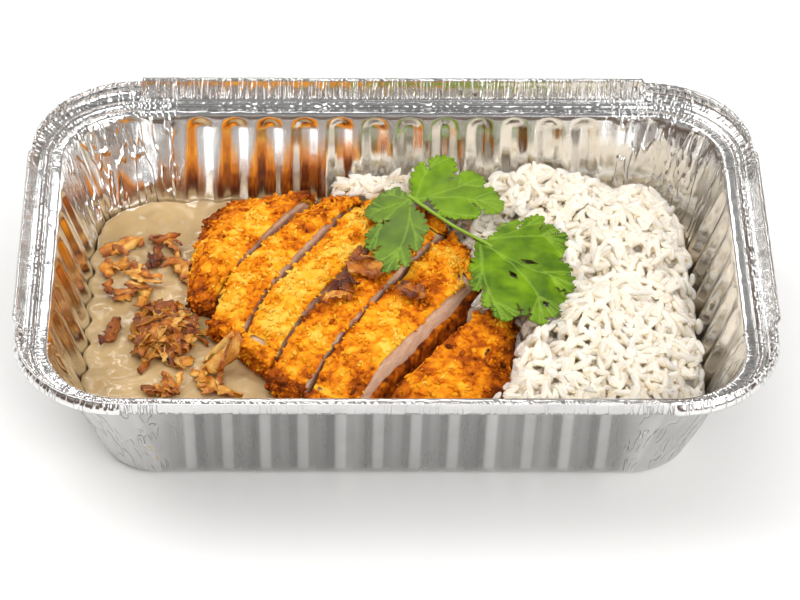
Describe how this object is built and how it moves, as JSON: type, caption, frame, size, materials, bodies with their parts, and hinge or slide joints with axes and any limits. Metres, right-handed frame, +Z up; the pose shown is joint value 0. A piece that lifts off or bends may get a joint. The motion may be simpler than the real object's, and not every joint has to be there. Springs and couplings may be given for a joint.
{
  "type": "foil tray meal",
  "caption": "Takeaway meal in a foil tray: cream sauce, sliced breaded chicken cutlet, white rice, crisp fried onion and a sprig of coriander.",
  "frame": {"origin": "middle of the tray's underside, on the surface it stands on", "axes": "+X along the tray towards the rice, -Y towards the eater, +Z up"},
  "size_m": [0.2212, 0.1492, 0.0512],
  "materials": {
    "foil": "thin bright pressed foil, lightly creased",
    "sauce": "smooth glossy cream sauce with fine specks",
    "rice": "moist steamed white rice",
    "crust": "golden fried breadcrumb crust",
    "meat": "moist cooked chicken, cut across the grain",
    "onion": "crisp fried onion, amber to dark brown",
    "leaf": "fresh green herb leaf with a soft sheen"
  },
  "bodies": {
    "root": {"foil_tray": "foil", "cream_sauce": "sauce", "rice_heap": "rice", "crumb_coat_1": "crust", "chicken_meat_1": "meat", "crumb_coat_2": "crust", "chicken_meat_2": "meat", "crumb_coat_3": "crust", "chicken_meat_3": "meat", "crumb_coat_4": "crust", "chicken_meat_4": "meat", "crumb_coat_5": "crust", "chicken_meat_5": "meat", "crumb_coat_6": "crust", "chicken_meat_6": "meat", "fried_onion_heap": "onion", "fried_onion_1": "onion", "fried_onion_2": "onion", "fried_onion_3": "onion", "fried_onion_4": "onion", "fried_onion_5": "onion", "fried_onion_6": "onion", "fried_onion_7": "onion", "fried_onion_8": "onion", "fried_onion_9": "onion", "fried_onion_10": "onion", "fried_onion_11": "onion", "fried_onion_12": "onion", "fried_onion_13": "onion", "fried_onion_14": "onion", "fried_onion_15": "onion", "fried_onion_16": "onion", "fried_onion_17": "onion", "fried_onion_18": "onion", "coriander_sprig": "leaf"}
  },
  "joints": []
}
